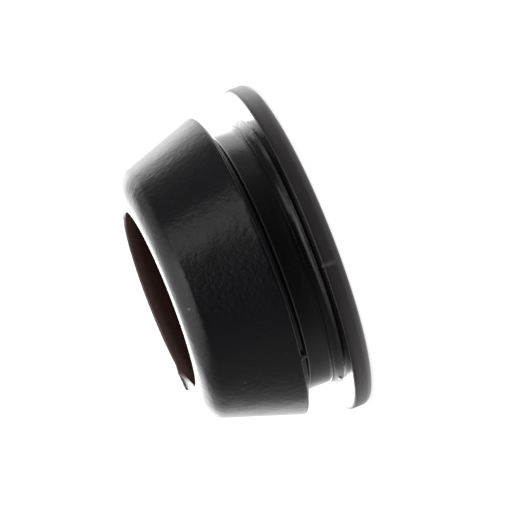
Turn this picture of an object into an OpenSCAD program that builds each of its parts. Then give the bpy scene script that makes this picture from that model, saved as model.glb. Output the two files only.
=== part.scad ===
// Blind rubber plug for a round hole in a panel, moulded in one piece.
// It stands on the outer face of its flange, with its axis along +Z and its hollow opening upwards.
// Its barb is pushed through the hole and springs out behind the panel, which then sits in the groove.

/* [Neck] */
// Diameter of the neck, which fills the hole in the panel
neck_d = 20; // [16:0.1:40]
// Width of the groove on the neck, from the flange to the root of the barb
groove_w = 2.6; // [1.5:0.1:6]

/* [Flange] */
// How far the flange reaches out past the neck, all round
flange_overlap = 2.6; // [1.5:0.1:8]
// Thickness of the flange
flange_t = 1.5; // [0.8:0.1:4]
// Rounding of the flange's outer edge, on the face that shows
flange_edge_r = 0.6; // [0.05:0.05:0.6]
// Rounding of the flange's other edge, on the face that meets the panel
flange_rim_r = 0.2; // [0.02:0.01:0.3]

/* [Neck foot] */
// How far the foot's upper edge stands out from the neck, as a narrow ledge
foot_step = 0.1; // [0.05:0.05:0.5]
// Height of the foot above the flange
foot_h = 0.75; // [0.3:0.05:1.2]
// Radius of the hollow curve that spreads the foot out towards the flange. It meets the flange at an angle
foot_r = 1; // [0.8:0.1:1.5]

/* [Barb] */
// How far the barb's rim reaches out past the neck
barb_overhang = 1.7; // [0.8:0.05:4]
// How far the back of the barb climbs from its root on the neck to its rim
barb_back_rise = 0.65; // [0.2:0.05:1.5]
// Rounding of the barb's rim
barb_rim_r = 0.12; // [0.02:0.01:0.3]
// Height of the barb, from its rim to the end face
barb_h = 7; // [4:0.1:16]
// Wall at the end face, from the hollow out to where the conical side would meet the end face
mouth_wall = 2.45; // [2:0.05:3]
// Rounding between the conical side and the end face
nose_r = 1.8; // [0.3:0.1:1.9]

/* [Hollow] */
// Diameter of the hollow
hollow_d = 13.7; // [6:0.1:14]
// Thickness of the closed end under the hollow
web_t = 1.5; // [0.8:0.1:4]
// Rounding between the hollow's floor and its wall
floor_r = 0.6; // [0.1:0.1:2]
// Rounding of the lip at the hollow's mouth
lip_r = 0.2; // [0.02:0.01:0.4]

/* [Hidden] */
$fn = 180;

// How far a cut runs on past the face that it opens
cut_past = 1;

neck_r = neck_d / 2;
flange_r = neck_r + flange_overlap;
foot_top_r = neck_r + foot_step;
barb_r = neck_r + barb_overhang;
hollow_r = hollow_d / 2;

foot_z = flange_t + foot_h;
root_z = flange_t + groove_w;
rim_z = root_z + barb_back_rise;
top_z = rim_z + barb_h;

// The conical side leans in from the rim to the wall at the end face.
end_r = hollow_r + mouth_wall;
cone_angle = atan((barb_r - end_r) / barb_h);

// The barb's section is drawn from the point where its back and its conical side would meet.
// Its rim is an arc that touches both of them.
back_angle = atan(barb_back_rise / barb_overhang);
rim_angle = 90 + back_angle - cone_angle;
rim_reach = barb_rim_r / tan(rim_angle / 2);
back_touch = rim_reach * [-cos(back_angle), -sin(back_angle)];
side_touch = rim_reach * [-sin(cone_angle), cos(cone_angle)];
rim_centre = side_touch - barb_rim_r * [cos(cone_angle), sin(cone_angle)];

// The nose is an arc that touches the conical side and the end face.
nose_touch_h = barb_h - nose_r * (1 - sin(cone_angle));
nose_touch = [-nose_touch_h * tan(cone_angle), nose_touch_h];
nose_centre = nose_touch - nose_r * [cos(cone_angle), sin(cone_angle)];

// Rectangle from the axis out to radius r, between two heights
module slab(r, z0, z1) {
    translate([0, z0]) square([r, z1 - z0]);
}

// Half section of the flange, with both its edges rounded
module flange_outline() {
    slab(flange_r - flange_edge_r, 0, flange_t);
    slab(flange_r, flange_edge_r, flange_t - flange_rim_r);
    slab(flange_r - flange_rim_r, flange_t / 2, flange_t);
    translate([flange_r - flange_edge_r, flange_edge_r]) circle(flange_edge_r);
    translate([flange_r - flange_rim_r, flange_t - flange_rim_r]) circle(flange_rim_r);
}

// Half section of the neck, with its foot spreading towards the flange
module neck_outline() {
    slab(neck_r, 0, root_z);
    difference() {
        slab(foot_top_r + foot_r, flange_t / 2, foot_z);
        translate([foot_top_r + foot_r, foot_z]) circle(foot_r);
    }
}

// Half section of the barb, from its root to the end face
module barb_outline() {
    translate([barb_r, rim_z]) {
        polygon([
            [-barb_r, -barb_back_rise], [-barb_overhang, -barb_back_rise], back_touch, side_touch,
            nose_touch, [nose_centre[0], barb_h], [-barb_r, barb_h]
        ]);
        translate(rim_centre) circle(barb_rim_r);
        translate(nose_centre) circle(nose_r);
    }
}

// Half section of the hollow, with its floor corner and its lip rounded
module hollow_outline() {
    slab(hollow_r - floor_r, web_t, top_z + cut_past);
    slab(hollow_r, web_t + floor_r, top_z + cut_past);
    translate([hollow_r - floor_r, web_t + floor_r]) circle(floor_r);
    difference() {
        slab(hollow_r + lip_r, top_z - lip_r, top_z + cut_past);
        translate([hollow_r + lip_r, top_z - lip_r]) circle(lip_r);
    }
}

module plug() {
    color("#1c1d1f")
    rotate_extrude()
    difference() {
        union() {
            flange_outline();
            neck_outline();
            barb_outline();
        }
        hollow_outline();
    }
}

plug();
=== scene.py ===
from math import cos, pi, radians, sin

import bpy
import numpy as np
from mathutils import Matrix, Vector


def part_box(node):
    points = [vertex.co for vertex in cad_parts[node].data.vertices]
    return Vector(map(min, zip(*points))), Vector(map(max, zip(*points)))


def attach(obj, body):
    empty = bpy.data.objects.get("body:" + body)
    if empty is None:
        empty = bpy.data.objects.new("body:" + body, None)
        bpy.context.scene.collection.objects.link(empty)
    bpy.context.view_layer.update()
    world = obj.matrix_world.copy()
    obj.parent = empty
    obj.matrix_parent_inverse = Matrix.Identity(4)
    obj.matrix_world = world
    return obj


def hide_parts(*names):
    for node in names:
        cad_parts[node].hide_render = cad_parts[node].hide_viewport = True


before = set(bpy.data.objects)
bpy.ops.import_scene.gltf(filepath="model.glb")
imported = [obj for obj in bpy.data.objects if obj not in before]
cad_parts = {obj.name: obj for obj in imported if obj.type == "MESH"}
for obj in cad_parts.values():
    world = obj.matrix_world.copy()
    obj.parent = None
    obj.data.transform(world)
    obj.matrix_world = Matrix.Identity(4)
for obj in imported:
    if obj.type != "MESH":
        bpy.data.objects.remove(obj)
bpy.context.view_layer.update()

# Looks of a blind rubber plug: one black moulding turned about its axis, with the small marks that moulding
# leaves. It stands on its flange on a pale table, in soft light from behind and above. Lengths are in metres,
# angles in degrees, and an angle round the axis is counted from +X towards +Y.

MM = 0.001

# ---------------------------------------- sizes of the moulding
# These are the CAD model's own sizes.
_, plug_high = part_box("plug")
FLANGE_R = plug_high.x
TOP_Z = plug_high.z
FLANGE_T = 1.5 * MM
NECK_R = 10.0 * MM
FOOT_R = 10.1 * MM
FOOT_HIGH = 0.75 * MM
ROOT_Z = 4.1 * MM
BARB_R = 11.7 * MM
RIM_Z = 4.75 * MM
HOLLOW_R = 6.85 * MM
WEB_T = 1.5 * MM

# The foot and the nose have shapes of their own here, within 0.1 mm of the CAD model's. The foot slopes down
# to the flange. The nose leaves the barb's side at NOSE_START and heads for NOSE_CORNER_R on the end face.
FOOT_SPREAD = 0.34 * MM
FOOT_SLOPE_HIGH = 0.42 * MM
NOSE_START = (9.718 * MM, 10.53 * MM)
NOSE_CORNER_R = 9.07 * MM

# How far down from the end face the hollow's wall has a fine mesh
MOUTH_DEEP = 0.9 * MM

# Roundings of the edges. The CAD model's differ a little at both rims, the foot, the barb's root and the
# nose.
FLANGE_EDGE = 0.6 * MM
FLANGE_RIM = 0.16 * MM
FOOT_HOLLOW = 0.95 * MM
CREASE = 0.03 * MM
ROOT_FILLET = 0.3 * MM
BARB_RIM = 0.14 * MM
NOSE_EDGE = 0.9 * MM
NOSE = 2.15 * MM
LIP = 0.2 * MM
FLOOR_CORNER = 0.6 * MM

# Bearings of the marks round the axis, in degrees. Each dash of flash has its width beside its bearing.
RIM_TICK = 261.2
BARB_TAG = 229.7
FOOT_PIMPLE = 194
LIP_TEAR = 151.5
FLASH_DASHES = ((277.9, 2.5), (269.6, 3.2), (261.4, 2.0), (253.7, 3.2), (292, 2))
RIM_NICKS = (286.6, 278.2, 269.3)

# How far the marks move the surface
NECK_OFF_AXIS = 0.09 * MM
SIDE_WAVE = 0.008 * MM
RIM_WAVE = 0.035 * MM
FLASH_OUT = 0.05 * MM
TAG_OUT = 0.1 * MM
TAG_DOWN = 0.38 * MM
TICK_OUT = 0.09 * MM
NICK_OUT = 0.05 * MM
PIMPLE_OUT = 0.08 * MM
LIP_IN = 0.2 * MM
LIP_DOWN = 0.15 * MM
LIP_EDGE_UP = 0.15 * MM

# Where marks lie, as a height or a distance from the axis, and how the thread at the lip runs: its width, and
# how far it moves out per degree
PIMPLE_Z = 1.68 * MM
LIP_EDGE_R = 6.93 * MM
THREAD_R = 7.0 * MM
THREAD_WIDE = 0.07 * MM
THREAD_DRIFT = 0.07 * MM

# Specks of dust on the barb: bearing, height and how pale each is
DUST_SPECKS = ((261.7, 11.1 * MM, 0.8), (220.9, 8.9 * MM, 0.3), (217.1, 9.12 * MM, 0.25))
DUST_WIDE = 0.65
DUST_TALL = 0.16 * MM

# Roughness, colours and the heights of the grain
ROUGH_NECK = 0.2
ROUGH_BARB = 0.3
ROUGH_RIM = 0.42
OUTER_BLACK = (0.0028, 0.0014, 0.0038, 1)
# The hollow's brown tint, made much lighter than the outer black: painted light inside the hollow
HOLLOW_BROWN_PAINTED_LIGHT = (0.052, 0.023, 0.019, 1)
# Paler colour near the hollow's mouth: painted light where more light gets in
MOUTH_PAINTED_LIGHT = (0.16, 0.095, 0.092, 1)
RIM_GREY = (0.0105, 0.0058, 0.0068, 1)
# A painted highlight on the rim's upright nick, and the pale grey of the tag
TICK_HIGHLIGHT_TAG_GREY = (0.11, 0.10, 0.10, 1)
DUST_GREY = (0.2, 0.19, 0.19, 1)
PEBBLES_HIGH = 0.026 * MM
GRAIN_HIGH = 0.003 * MM
DRIFT_HIGH = 0.1 * MM
SPECK_HIGH = 0.02 * MM

# Brightness of the table: seen directly, and of its patches in reflections
TABLE_WHITE = 0.85
TABLE_GREY = 0.3
FLOOR_CLOSE = 0.6
FLOOR_CLOSE_LEFT = 1.6 * FLOOR_CLOSE
FLOOR_DIM = 0.055
FLOOR_BESIDE = 0.35
FLOOR_BEHIND = 1.6
FLOOR_RIGHT = 2.1
FLOOR_LEFT = 0.42
FLOOR_FLANK = 1.3

# The patches to the right and the left fade in front of the lines y = SLANT * (|x| - SLANT_START)
SLANT = 0.6
SLANT_START = 16 * MM

# Fineness of the grain's textures, in features per metre
PEBBLES_SCALE = 2400
GRAIN_SCALE = 9000
DRIFT_SCALE = 300
SPECK_SCALE = 420

# Brightness of the surround's parts in reflections, and of its white seen directly
SKY_BEHIND = 1.8
SKY_FLANK = 1.4
SKY_STRAIGHT_BEHIND = 1.4
SKY_ZENITH = 1.35
SKY_ZENITH_MIDDLE = 0.3
SKY_HIGH_LEFT = 0.5
SKY_HIGH_RIGHT = 2.2
SKY_BESIDE_LEFT = 0.33
SKY_BESIDE_RIGHT = 0.24
SKY_HORIZON = 0.03
SKY_LOW = 0.06
SKY_LAMP = 1.8
SKY_WHITE = 1.2

# Direction of the surround's lamp, which leans 25 degrees from the zenith to the front
LAMP_FRONT = 0.42
LAMP_UP = 0.907

# Soft lights: name, bearing from the camera's side towards +X, elevation, distance, width and power in watts
LIGHTS = (
    ("side_light", 43, 31, 0.6, 0.26, 0.25),
    ("foot_light", 22, 50, 0.6, 0.26, 0.15),
    ("back_light", 180, 26, 0.6, 0.5, 1.6),
    ("back_right_light", 139, 10, 0.6, 0.36, 0.6),
)

# Camera: its elevation and roll, its distance from a point on the axis, that point's height, how far the
# middle of its view lies from the point towards the view's right and top, and its lens and its sensor's
# width in millimetres
CAMERA_ELEVATION = 8.036
CAMERA_ROLL = 21.265
CAMERA_DISTANCE = 287.9 * MM
CAMERA_TARGET_Z = 5.882 * MM
AIM_RIGHT = 1.966 * MM
AIM_UP = 0.895 * MM
CAMERA_LENS = 271.6
CAMERA_SENSOR = 36

# Longest pieces of the mesh along the outline, and the number of steps round the axis. On an arc the longest
# is STEP_ARC, or ARC_SHARE of the arc's radius where that is more.
STEP_ARC = 0.04 * MM
ARC_SHARE = 0.05
STEP_FINE = 0.065 * MM
STEP_SIDE = 0.3 * MM
STEP_HIDDEN = 2 * MM
TURN_STEPS = 440


# ---------------------------------------- outline
def rounded_outline(corners):
    """Points along a chain of straight lines whose corners are rounded.

    A corner (r, z, rounding, step) becomes the arc of that radius that touches both of its lines. The arc
    starts rounding / tan(half the angle between the lines) before the corner and ends as far past it, and its
    centre lies on the line that halves the angle, rounding / sin(half the angle) from the corner. The arc's
    points lie at equal angles. The line that follows it is cut into equal pieces no longer than step.
    """
    points, steps = [np.array(corners[0][:2])[None]], [corners[0][3]]
    for before, corner, after in zip(corners[:-2], corners[1:-1], corners[2:]):
        here, rounding, step = np.array(corner[:2]), corner[2], corner[3]
        arc = here[None]
        if rounding > 0:
            to_before = np.array(before[:2]) - here
            to_after = np.array(after[:2]) - here
            to_before /= np.linalg.norm(to_before)
            to_after /= np.linalg.norm(to_after)
            half = np.arccos(np.clip(to_before @ to_after, -1, 1)) / 2
            middle = (to_before + to_after) / np.linalg.norm(to_before + to_after)
            centre = here + middle * rounding / np.sin(half)
            start = here + to_before * rounding / np.tan(half) - centre
            end = here + to_after * rounding / np.tan(half) - centre
            sweep = np.pi - 2 * half
            count = max(3, int(np.ceil(sweep * rounding / max(STEP_ARC, ARC_SHARE * rounding))) + 1)
            share = np.linspace(0, 1, count)[:, None]
            arc = centre + (np.sin((1 - share) * sweep) * start + np.sin(share * sweep) * end) / np.sin(sweep)
        points.append(arc)
        steps += [np.inf] * (len(arc) - 1) + [step]
    points = np.concatenate(points + [np.array(corners[-1][:2])[None]])
    lengths = np.linalg.norm(np.diff(points, axis=0), axis=1)
    pieces = np.maximum(1, np.ceil(lengths / np.array(steps) - 0.01)).astype(int)
    whole = np.arange(len(points))
    index = np.concatenate([whole[i] + np.arange(n) / n for i, n in enumerate(pieces)] + [whole[-1:]])
    return np.stack([np.interp(index, whole, points[:, k]) for k in (0, 1)], axis=1)


def plug_outline():
    """Half section of the plug, from the middle of its outer face, over the barb and down into the hollow."""
    return rounded_outline([
        (0, 0, 0, STEP_HIDDEN),
        (FLANGE_R, 0, FLANGE_EDGE, STEP_SIDE),
        (FLANGE_R, FLANGE_T, FLANGE_RIM, STEP_SIDE),
        (FOOT_R + FOOT_SPREAD, FLANGE_T, CREASE, STEP_ARC),
        (FOOT_R, FLANGE_T + FOOT_SLOPE_HIGH, FOOT_HOLLOW, STEP_FINE),
        (FOOT_R, FLANGE_T + FOOT_HIGH, CREASE, STEP_ARC),
        (NECK_R, FLANGE_T + FOOT_HIGH, CREASE, STEP_SIDE),
        (NECK_R, ROOT_Z, ROOT_FILLET, STEP_SIDE),
        (BARB_R, RIM_Z, BARB_RIM, STEP_SIDE),
        (*NOSE_START, NOSE_EDGE, STEP_SIDE),
        (NOSE_CORNER_R, TOP_Z, NOSE, STEP_FINE),
        (HOLLOW_R, TOP_Z, LIP, STEP_FINE),
        (HOLLOW_R, TOP_Z - MOUTH_DEEP, 0, STEP_HIDDEN),
        (HOLLOW_R, WEB_T, FLOOR_CORNER, STEP_HIDDEN),
        (0, WEB_T, 0, STEP_HIDDEN),
    ])


# ---------------------------------------- marks that the mould leaves
def bump(value, middle, width):
    """Smooth bump of height 1: e to the power of minus the square of (value - middle) / width."""
    return np.exp(-((value - middle) / width) ** 2)


def round_bump(turn, middle, width):
    """The same bump round the axis, where turn and middle are bearings in degrees and the ends meet."""
    return bump((turn - middle + 180) % 360 - 180, 0, width)


def stretch(turn, start, end, soft):
    """1 between two bearings in degrees and 0 outside them, with ends that fade over soft degrees."""
    return 1 / ((1 + np.exp(-(turn - start) / soft)) * (1 + np.exp((turn - end) / soft)))


def turn_bearings():
    """Bearings round the axis, closer together where there is a mark.

    Their density is 1 plus a bump at each mark, and the bearings cut the sum of it into equal shares.
    """
    fine = np.linspace(0, 360, 7201)
    density = 1 + sum(extra * round_bump(fine, middle, width) for middle, width, extra in (
        (RIM_TICK, 3, 6), (BARB_TAG, 4, 5), (FOOT_PIMPLE, 3, 3), (LIP_TEAR, 17, 2)))
    total = np.concatenate([[0], np.cumsum((density[1:] + density[:-1]) / 2)])
    return np.interp(np.arange(TURN_STEPS) * total[-1] / TURN_STEPS, total, fine)


def mould_marks(outline, turn):
    """How far the surface stands away from its plain turned shape, per row of the outline and per bearing.

    It gives three lengths: outwards along the surface, away from the axis and upwards. The neck's offset is
    a cosine of the bearing, and the barb's side and rim wave as sines of it, the rim with a stretch added.
    Every other mark is a bump or step along the outline, times a bump or stretch round the axis, times its
    height.
    """
    r, z = outline[:, 0:1], outline[:, 1:2]
    turn = turn[None]
    out = 0 * (r + turn)
    away, up = out.copy(), out.copy()
    outside = r > HOLLOW_R + 0.3 * MM
    row = np.arange(len(outline))[:, None]
    past_nose = row > np.argmax(outline[:, 1] > TOP_Z - 1e-7)

    # The neck and its foot stand a little off the axis, towards -X.
    neck = outside & ~past_nose & (z > FLANGE_T - 1e-6)
    share = np.clip((11.4 * MM - r) / (0.8 * MM), 0, 1) * (z < RIM_Z)
    away += neck * share * NECK_OFF_AXIS * np.cos(np.radians(turn - 180))

    # The barb's side is very slightly uneven, and its rim waves up and down.
    side = outside & (z > RIM_Z - 0.3 * MM) & (z < TOP_Z - 0.02 * MM)
    wave = np.sin(np.radians(3 * turn + 40)) + 0.7 * np.sin(np.radians(7 * turn + 250 * z / TOP_Z + 10))
    out += side * SIDE_WAVE * wave
    rim = bump(z, RIM_Z, 0.35 * MM) * (r > 11.0 * MM)
    up += rim * RIM_WAVE * (np.sin(np.radians(5 * turn + 60)) + stretch(turn, 175, 215, 5))

    # A broken line of flash runs along the barb's rim.
    flash = sum(round_bump(turn, middle, width) for middle, width in FLASH_DASHES)
    out += bump(z, RIM_Z + 0.02 * MM, 0.08 * MM) * (r > 11.3 * MM) * FLASH_OUT * flash

    # A tag of rubber hangs from the rim.
    tag = round_bump(turn, BARB_TAG, 0.65) * bump(z, RIM_Z - 0.04 * MM, 0.16 * MM) * (r > 11.0 * MM)
    out += TAG_OUT * tag
    up -= TAG_DOWN * tag

    # A short upright nick of flash crosses the flange's rim, with a fainter one beside it. Small nicks lie
    # along the rim's upper edge.
    on_rim = (r > 12.3 * MM) & (z < FLANGE_T + 1e-6)
    upper = 1 / (1 + np.exp((0.75 * MM - z) / (0.12 * MM)))
    out += on_rim * TICK_OUT * round_bump(turn, RIM_TICK - 0.3, 0.45) * (0.1 + 0.9 * upper)
    out += on_rim * NICK_OUT * round_bump(turn, RIM_TICK + 0.9, 0.3) * upper
    for middle in RIM_NICKS:
        out += on_rim * NICK_OUT * round_bump(turn, middle, 0.3) * bump(z, FLANGE_T - 0.12 * MM, 0.12 * MM)

    # A pimple sits low on the foot.
    pimple = round_bump(turn, FOOT_PIMPLE, 1.8) * bump(z, PIMPLE_Z, 0.1 * MM) * (r < 10.6 * MM)
    out += neck * PIMPLE_OUT * pimple

    # The hollow's lip is torn. It bulges inwards and sinks along one stretch. Beside that an edge stands up,
    # with a thin thread whose distance from the axis grows with the bearing.
    near_lip = bump(np.clip(z, None, TOP_Z), TOP_Z, 0.35 * MM) * past_nose
    lip = near_lip * np.clip((7.5 * MM - r) / (0.5 * MM), 0, 1)
    away -= LIP_IN * lip * stretch(turn, LIP_TEAR + 3, LIP_TEAR + 32, 3)
    up -= LIP_DOWN * lip * stretch(turn, LIP_TEAR + 1, LIP_TEAR + 26, 2.5)
    edge = past_nose & (z > TOP_Z - 0.3 * MM)
    on_edge = bump(r, LIP_EDGE_R, 0.12 * MM) * stretch(turn, LIP_TEAR - 14, LIP_TEAR - 5, 1.5)
    thread_r = THREAD_R + THREAD_DRIFT * (turn - LIP_TEAR + 8)
    on_thread = bump(r, thread_r, THREAD_WIDE) * stretch(turn, LIP_TEAR - 8, LIP_TEAR + 4, 0.8)
    up += edge * LIP_EDGE_UP * on_edge
    up += edge * LIP_EDGE_UP * on_thread
    return out, away, up


# ---------------------------------------- mesh
def turned_mesh(name, outline, turn, marks):
    """Mesh of a surface turned about +Z.

    The point of outline row i at bearing a is (r cos a, r sin a, z), where (r, z) is the row's own point,
    moved by the marks out, away and up: out along the outline's outward normal, away along r and up along z.
    The outline starts and ends on the axis, where each end is one point.
    """
    radius, height = outline.T
    along = np.gradient(outline, axis=0)
    along /= np.linalg.norm(along, axis=1)[:, None]
    out, away, up = marks
    r = radius[:, None] + out * along[:, 1:2] + away
    z = height[:, None] - out * along[:, 0:1] + up
    angle = np.radians(turn)[None]
    grid = np.stack([r * np.cos(angle), r * np.sin(angle), z], axis=-1)

    rows, columns = len(outline), len(turn)
    ends = np.array([[0, 0, height[0]], [0, 0, height[-1]]])
    points = np.concatenate([ends, grid[1:-1].reshape(-1, 3)])
    number = 2 + np.arange((rows - 2) * columns).reshape(rows - 2, columns)
    beside = np.roll(number, -1, axis=1)
    quads = np.stack([number[:-1], beside[:-1], beside[1:], number[1:]], axis=-1).reshape(-1, 4)
    first = np.stack([0 * number[0], beside[0], number[0]], axis=-1)
    last = np.stack([0 * number[0] + 1, number[-1], beside[-1]], axis=-1)

    mesh = bpy.data.meshes.new(name)
    mesh.from_pydata(points.tolist(), [], quads.tolist() + first.tolist() + last.tolist())
    mesh.shade_smooth()
    mesh.validate()
    return mesh


def make_plug():
    outline = plug_outline()
    turn = turn_bearings()
    mesh = turned_mesh("plug_moulding", outline, turn, mould_marks(outline, turn))
    plug = bpy.data.objects.new("plug_moulding", mesh)
    bpy.context.scene.collection.objects.link(plug)
    return plug


# ---------------------------------------- materials
def new_material(name):
    material = bpy.data.materials.new(name)
    material.use_nodes = True
    return material, material.node_tree.nodes, material.node_tree.links


def node_maker(nodes, links):
    """Short ways to add a Math node and a smooth Map Range node, each of which gives back its output."""
    def math(operation, *values):
        node = nodes.new("ShaderNodeMath")
        node.operation = operation
        for socket, value in zip(node.inputs, values):
            if hasattr(value, "links"):
                links.new(value, socket)
            else:
                socket.default_value = value
        return node.outputs["Value"]

    def ramp(value, start, end, low, high):
        node = nodes.new("ShaderNodeMapRange")
        node.interpolation_type = "SMOOTHSTEP"
        for name, number in (("From Min", start), ("From Max", end), ("To Min", low), ("To Max", high)):
            node.inputs[name].default_value = number
        links.new(value, node.inputs["Value"])
        return node.outputs["Result"]

    return math, ramp


def black_rubber():
    """Nearly black moulded rubber, shinier on the neck, with a pebbled grain that is strongest on the barb.

    The flange's rim is the mattest part and slightly grey. The hollow is brown and lightened as painted
    light, with painted shade deeper down and a paler painted light at its mouth.
    The nick on the rim carries a painted highlight, and the tag and the specks of dust are pale.
    """
    material, nodes, links = new_material("black_rubber")
    math, ramp = node_maker(nodes, links)
    shader = nodes["Principled BSDF"]
    shader.inputs["IOR"].default_value = 1.5
    place = nodes.new("ShaderNodeTexCoord")
    axes = nodes.new("ShaderNodeSeparateXYZ")
    links.new(place.outputs["Object"], axes.inputs["Vector"])
    x, y, z = axes.outputs
    from_axis = math("SQRT", math("ADD", math("MULTIPLY", x, x), math("MULTIPLY", y, y)))

    on_barb = ramp(z, RIM_Z - 0.15 * MM, RIM_Z + 0.3 * MM, 0, 1)
    on_rim = ramp(from_axis, FLANGE_R - 0.35 * MM, FLANGE_R - 0.1 * MM, 0, 1)
    barb_part = math("MULTIPLY", on_barb, ROUGH_BARB - ROUGH_NECK)
    rim_part = math("MULTIPLY", on_rim, ROUGH_RIM - ROUGH_NECK)
    links.new(math("ADD", math("ADD", barb_part, rim_part), ROUGH_NECK), shader.inputs["Roughness"])

    def blend(under, over, share):
        """Colour that goes from under to over as share goes from 0 to 1."""
        node = nodes.new("ShaderNodeMix")
        node.data_type = "RGBA"
        if hasattr(under, "links"):
            links.new(under, node.inputs["A"])
        else:
            node.inputs["A"].default_value = under
        node.inputs["B"].default_value = over
        links.new(share, node.inputs["Factor"])
        return node.outputs["Result"]

    in_hollow = ramp(from_axis, HOLLOW_R + 0.02 * MM, HOLLOW_R + 0.12 * MM, 1, 0)
    above_web = ramp(z, WEB_T - 0.1 * MM, WEB_T, 0, 1)
    # Deeper in the hollow the brown fades to 0.35 of its strength: painted shade.
    above_web = math("MULTIPLY", above_web, ramp(z, TOP_Z - 1.9 * MM, TOP_Z - 1.1 * MM, 0.35, 1))
    # Near the mouth the hollow is painted paler: painted light.
    near_lip = math("MULTIPLY", in_hollow, ramp(z, TOP_Z - 1.0 * MM, TOP_Z - 0.15 * MM, 0, 1))
    colour = blend(OUTER_BLACK, HOLLOW_BROWN_PAINTED_LIGHT, math("MULTIPLY", in_hollow, above_web))
    colour = blend(colour, MOUTH_PAINTED_LIGHT, near_lip)
    colour = blend(colour, RIM_GREY, on_rim)

    # Here bearings run from -180 to 180 degrees, so 360 is taken off the bearings of the marks.
    bearing = math("MULTIPLY", math("ARCTAN2", y, x), 180 / pi)
    # The upright nick on the rim is painted pale, fainter low down: a painted highlight where its ridge
    # catches the light.
    from_tick = math("ABSOLUTE", math("SUBTRACT", bearing, RIM_TICK - 360))
    tick_highlight = math("MULTIPLY", ramp(from_tick, 0.1, 1.0, 0.5, 0), ramp(z, 0.2 * MM, 1.2 * MM, 0.05, 1))
    tick_highlight = math("MULTIPLY", tick_highlight, on_rim)
    from_tag = math("ABSOLUTE", math("SUBTRACT", bearing, BARB_TAG - 360))
    below_rim = ramp(z, RIM_Z - 0.1 * MM, RIM_Z + 0.2 * MM, 1, 0)
    on_tag = math("MULTIPLY", ramp(from_tag, 0.2, 1.0, 0.5, 0), below_rim)
    on_tag = math("MULTIPLY", on_tag, ramp(from_axis, 11.1 * MM, 11.5 * MM, 0, 1))
    on_tag = math("MULTIPLY", on_tag, ramp(z, 2.6 * MM, 3.2 * MM, 0, 1))
    # The nick's painted highlight, and the tag's pale grey
    colour = blend(colour, TICK_HIGHLIGHT_TAG_GREY, math("ADD", tick_highlight, on_tag))

    dust = 0
    for speck_turn, speck_z, paleness in DUST_SPECKS:
        off_turn = math("MULTIPLY", math("SUBTRACT", bearing, speck_turn - 360), 1 / DUST_WIDE)
        off_z = math("MULTIPLY", math("SUBTRACT", z, speck_z), 1 / DUST_TALL)
        off = math("SQRT", math("ADD", math("MULTIPLY", off_turn, off_turn), math("MULTIPLY", off_z, off_z)))
        dust = math("ADD", dust, ramp(off, 0.3, 1, paleness, 0))
    colour = blend(colour, DUST_GREY, math("MULTIPLY", dust, ramp(from_axis, 7.5 * MM, 8 * MM, 0, 1)))
    links.new(colour, shader.inputs["Base Color"])

    def relief(kind, scale, detail):
        texture = nodes.new(kind)
        texture.inputs["Scale"].default_value = scale
        texture.inputs["Detail"].default_value = detail
        links.new(place.outputs["Object"], texture.inputs["Vector"])
        return texture

    pebbles = relief("ShaderNodeTexNoise", PEBBLES_SCALE, 2).outputs["Fac"]
    grain = relief("ShaderNodeTexNoise", GRAIN_SCALE, 2).outputs["Fac"]
    drift = relief("ShaderNodeTexNoise", DRIFT_SCALE, 1).outputs["Fac"]
    specks = ramp(relief("ShaderNodeTexVoronoi", SPECK_SCALE, 0).outputs["Distance"], 0.03, 0.075, 1, 0)
    height = math("ADD", math("MULTIPLY", pebbles, PEBBLES_HIGH), math("MULTIPLY", grain, GRAIN_HIGH))
    height = math("ADD", height, math("MULTIPLY", drift, DRIFT_HIGH))
    height = math("MULTIPLY", height, math("ADD", math("MULTIPLY", on_barb, 0.65), 0.35))
    height = math("ADD", height, math("MULTIPLY", math("MULTIPLY", specks, on_barb), SPECK_HIGH))
    bumps = nodes.new("ShaderNodeBump")
    bumps.inputs["Strength"].default_value = 1
    bumps.inputs["Distance"].default_value = 0.001
    links.new(math("MULTIPLY", height, 1 / MM), bumps.inputs["Height"])
    links.new(bumps.outputs["Normal"], shader.inputs["Normal"])
    return material


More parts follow.
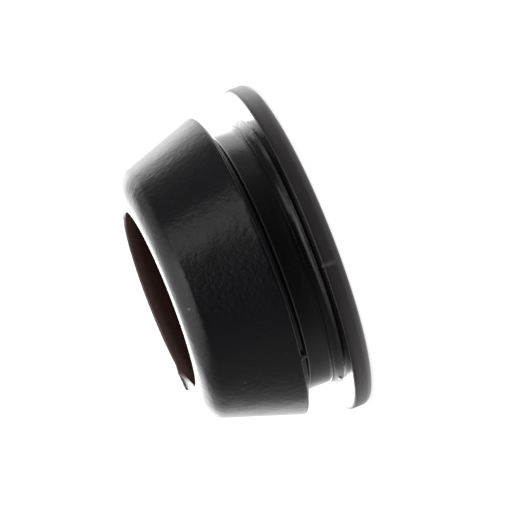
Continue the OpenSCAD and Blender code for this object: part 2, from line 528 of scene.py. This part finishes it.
def table_paint():
    """White to the eye. In reflections the table is bright close to the plug, behind it and to its right.

    Its brightness is the greatest of five patches: close to the plug, beside it, behind it, to its right (+X)
    and to its left. They are made of soft steps in x, in y and in the distance from the axis.
    """
    material, nodes, links = new_material("pale_table")
    math, ramp = node_maker(nodes, links)
    shader = nodes["Principled BSDF"]
    shader.inputs["Roughness"].default_value = 0.9
    shader.inputs["Specular IOR Level"].default_value = 0
    shader.inputs["Emission Color"].default_value = (1, 1, 1, 1)
    place = nodes.new("ShaderNodeTexCoord")
    axes = nodes.new("ShaderNodeSeparateXYZ")
    links.new(place.outputs["Object"], axes.inputs["Vector"])
    x, y, _ = axes.outputs
    from_plug = math("SQRT", math("ADD", math("MULTIPLY", x, x), math("MULTIPLY", y, y)))
    near = math("ADD", ramp(from_plug, 14 * MM, 25 * MM, 1, 0), ramp(from_plug, 13 * MM, 15 * MM, 0.75, 0))
    front_part = ramp(x, -12 * MM, -3 * MM, FLOOR_CLOSE_LEFT, FLOOR_CLOSE)
    flank = math("MULTIPLY", ramp(y, -14 * MM, -4 * MM, 0, FLOOR_FLANK), ramp(x, -10 * MM, 10 * MM, 0.2, 1))
    flank = math("MULTIPLY", flank, ramp(from_plug, 13 * MM, 15.5 * MM, 0.2, 1))
    close = math("MULTIPLY", near, math("ADD", front_part, flank))
    close = math("ADD", close, FLOOR_DIM)
    wide = ramp(math("ABSOLUTE", x), 14 * MM, 26 * MM, 0, FLOOR_BESIDE)
    beside = math("MULTIPLY", wide, ramp(y, -22 * MM, -8 * MM, 0.5, 1))
    fall_off = math("MAXIMUM", ramp(x, -30 * MM, -12 * MM, 0.5, 1), ramp(y, 18 * MM, 45 * MM, 0, 1.2))
    behind = math("MULTIPLY", ramp(y, -2 * MM, 25 * MM, 0, FLOOR_BEHIND), fall_off)
    slant_y = math("SUBTRACT", math("MULTIPLY", math("ABSOLUTE", x), SLANT), SLANT_START * SLANT)
    to_side = ramp(math("SUBTRACT", y, slant_y), -10 * MM, 0, 0, 1)
    to_right = ramp(x, 10 * MM, 12.6 * MM, 0, FLOOR_RIGHT)
    to_right = math("MULTIPLY", to_right, ramp(x, 17 * MM, 22 * MM, 1.5, 1))
    to_right = math("MULTIPLY", to_right, to_side)
    left_part = ramp(x, -16 * MM, -10 * MM, FLOOR_LEFT, 0)
    left_part = math("MULTIPLY", left_part, ramp(y, 4 * MM, 14 * MM, 1, 0.4))
    to_left = math("MULTIPLY", left_part, to_side)
    glow = math("MAXIMUM", math("MAXIMUM", close, beside), math("MAXIMUM", behind, to_right))
    glow = math("MAXIMUM", glow, to_left)
    seen_directly = nodes.new("ShaderNodeLightPath").outputs["Is Camera Ray"]
    dim = math("MULTIPLY", glow, math("SUBTRACT", 1, seen_directly))
    strength = math("ADD", dim, math("MULTIPLY", seen_directly, TABLE_WHITE))
    links.new(strength, shader.inputs["Emission Strength"])
    links.new(math("MULTIPLY", seen_directly, TABLE_GREY), shader.inputs["Base Color"])
    return material


# ---------------------------------------- table, light and camera
def make_table():
    size = 6.0
    mesh = bpy.data.meshes.new("table_top")
    corners = np.array([(-1, -1, 0), (1, -1, 0), (1, 1, 0), (-1, 1, 0)]) * size / 2
    mesh.from_pydata(corners.tolist(), [], [(0, 1, 2, 3)])
    mesh.materials.append(table_paint())
    table = bpy.data.objects.new("table_top", mesh)
    bpy.context.scene.collection.objects.link(table)


def make_surround():
    """White to the eye. In reflections it is bright behind the plug and overhead, and dim in front.

    With x, y and z the direction's parts towards the right side, the back and upwards, its brightness is the
    sum of six parts. behind grows as the cube of y. straight_behind is a soft cap about the back. flank lies
    between the back and the sides, and on the left it is dimmer above the horizon. beside grows as the square
    of x. low is dim and fades towards the horizon. The sixth is the brighter of the zenith and the lamp. The
    zenith takes in a patch high up at each side, of which the right one is the brighter.
    """
    world = bpy.data.worlds.new("studio")
    bpy.context.scene.world = world
    world.use_nodes = True
    nodes, links = world.node_tree.nodes, world.node_tree.links
    nodes.clear()
    math, ramp = node_maker(nodes, links)
    place = nodes.new("ShaderNodeTexCoord")
    axes = nodes.new("ShaderNodeSeparateXYZ")
    links.new(place.outputs["Generated"], axes.inputs["Vector"])
    x, y, z = axes.outputs
    behind = math("MULTIPLY", math("POWER", math("MAXIMUM", y, 0), 3), SKY_BEHIND)
    flank = math("MULTIPLY", ramp(math("ABSOLUTE", x), 0.2, 0.5, 0, SKY_FLANK), ramp(y, 0.6, 0.88, 0, 1))
    low_left = math("MAXIMUM", ramp(z, 0.06, 0.16, 1, 0.52), ramp(x, -0.2, 0, 0, 1))
    flank = math("MULTIPLY", flank, low_left)
    zenith = ramp(z, 0.68, 0.8, 0, SKY_ZENITH)
    zenith = math("ADD", zenith, ramp(z, 0.88, 0.98, 0, SKY_ZENITH_MIDDLE))
    zenith = math("MULTIPLY", zenith, ramp(math("ABSOLUTE", x), 0.35, 0.7, 1, 0.55))
    high_side = math("MULTIPLY", ramp(z, 0.5, 0.72, 0, 1), ramp(math("ABSOLUTE", x), 0.55, 0.8, 0, 1))
    high_side = math("MULTIPLY", high_side, ramp(y, 0.05, 0.25, 0, 1))
    high_side = math("MULTIPLY", high_side, ramp(x, -0.5, 0.5, SKY_HIGH_LEFT, SKY_HIGH_RIGHT))
    zenith = math("MAXIMUM", zenith, high_side)
    towards_lamp = math("ADD", math("MULTIPLY", y, -LAMP_FRONT), math("MULTIPLY", z, LAMP_UP))
    lamp = ramp(towards_lamp, 0.89, 0.94, 0, SKY_LAMP)
    low = ramp(z, 0.0, 0.35, SKY_HORIZON, SKY_LOW)
    beside = ramp(x, -0.5, 0.5, SKY_BESIDE_LEFT, SKY_BESIDE_RIGHT)
    beside = math("MULTIPLY", math("MULTIPLY", x, x), beside)
    total = math("ADD", math("ADD", behind, math("MAXIMUM", zenith, lamp)), math("ADD", low, beside))
    straight_behind = ramp(y, 0.86, 0.96, 0, SKY_STRAIGHT_BEHIND)
    straight_behind = math("MULTIPLY", straight_behind, ramp(math("ABSOLUTE", x), 0.08, 0.3, 1, 0.3))
    total = math("ADD", math("ADD", total, flank), straight_behind)
    surround = nodes.new("ShaderNodeBackground")
    links.new(total, surround.inputs["Strength"])
    white = nodes.new("ShaderNodeBackground")
    white.inputs["Strength"].default_value = SKY_WHITE
    mix = nodes.new("ShaderNodeMixShader")
    links.new(nodes.new("ShaderNodeLightPath").outputs["Is Camera Ray"], mix.inputs["Fac"])
    links.new(surround.outputs["Background"], mix.inputs[1])
    links.new(white.outputs["Background"], mix.inputs[2])
    out = nodes.new("ShaderNodeOutputWorld")
    links.new(mix.outputs["Shader"], out.inputs["Surface"])


def make_soft_light(name, bearing, elevation, distance, size, power):
    """A square soft light that looks at the plug. bearing is counted from the camera's side towards +X."""
    light = bpy.data.lights.new(name, "AREA")
    light.size = size
    light.energy = power
    lamp = bpy.data.objects.new(name, light)
    b, e = radians(bearing), radians(elevation)
    direction = Vector((sin(b) * cos(e), -cos(b) * cos(e), sin(e)))
    lamp.location = direction * distance
    lamp.rotation_euler = direction.to_track_quat("Z", "Y").to_euler()
    lamp.visible_camera = False
    bpy.context.scene.collection.objects.link(lamp)


def make_camera():
    """A long lens, low down in front, rolled so that the plug's axis points to the left and a little down."""
    elevation, roll = radians(CAMERA_ELEVATION), radians(CAMERA_ROLL)
    target = Vector((0, 0, CAMERA_TARGET_Z))
    forward = Vector((0, cos(elevation), -sin(elevation)))
    upward = Vector((0, sin(elevation), cos(elevation)))
    sideways = Vector((1, 0, 0))
    right = -cos(roll) * upward - sin(roll) * sideways
    up = -sin(roll) * upward + cos(roll) * sideways
    position = target - forward * CAMERA_DISTANCE
    aim = target + AIM_RIGHT * right + AIM_UP * up
    back = (position - aim).normalized()
    right = up.cross(back).normalized()
    up = back.cross(right)
    data = bpy.data.cameras.new("camera")
    data.sensor_width = CAMERA_SENSOR
    data.lens = CAMERA_LENS
    data.clip_start = 0.01
    data.clip_end = 20
    camera = bpy.data.objects.new("camera", data)
    camera.matrix_world = Matrix.Translation(position) @ Matrix((right, up, back)).transposed().to_4x4()
    bpy.context.scene.collection.objects.link(camera)
    bpy.context.scene.camera = camera


# ---------------------------------------- build
make_camera()
plug = make_plug()
plug.data.materials.append(black_rubber())
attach(plug, "root")
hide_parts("plug")
make_table()
make_surround()
for light in LIGHTS:
    make_soft_light(*light)

scene = bpy.context.scene
scene.view_settings.view_transform = "Standard"
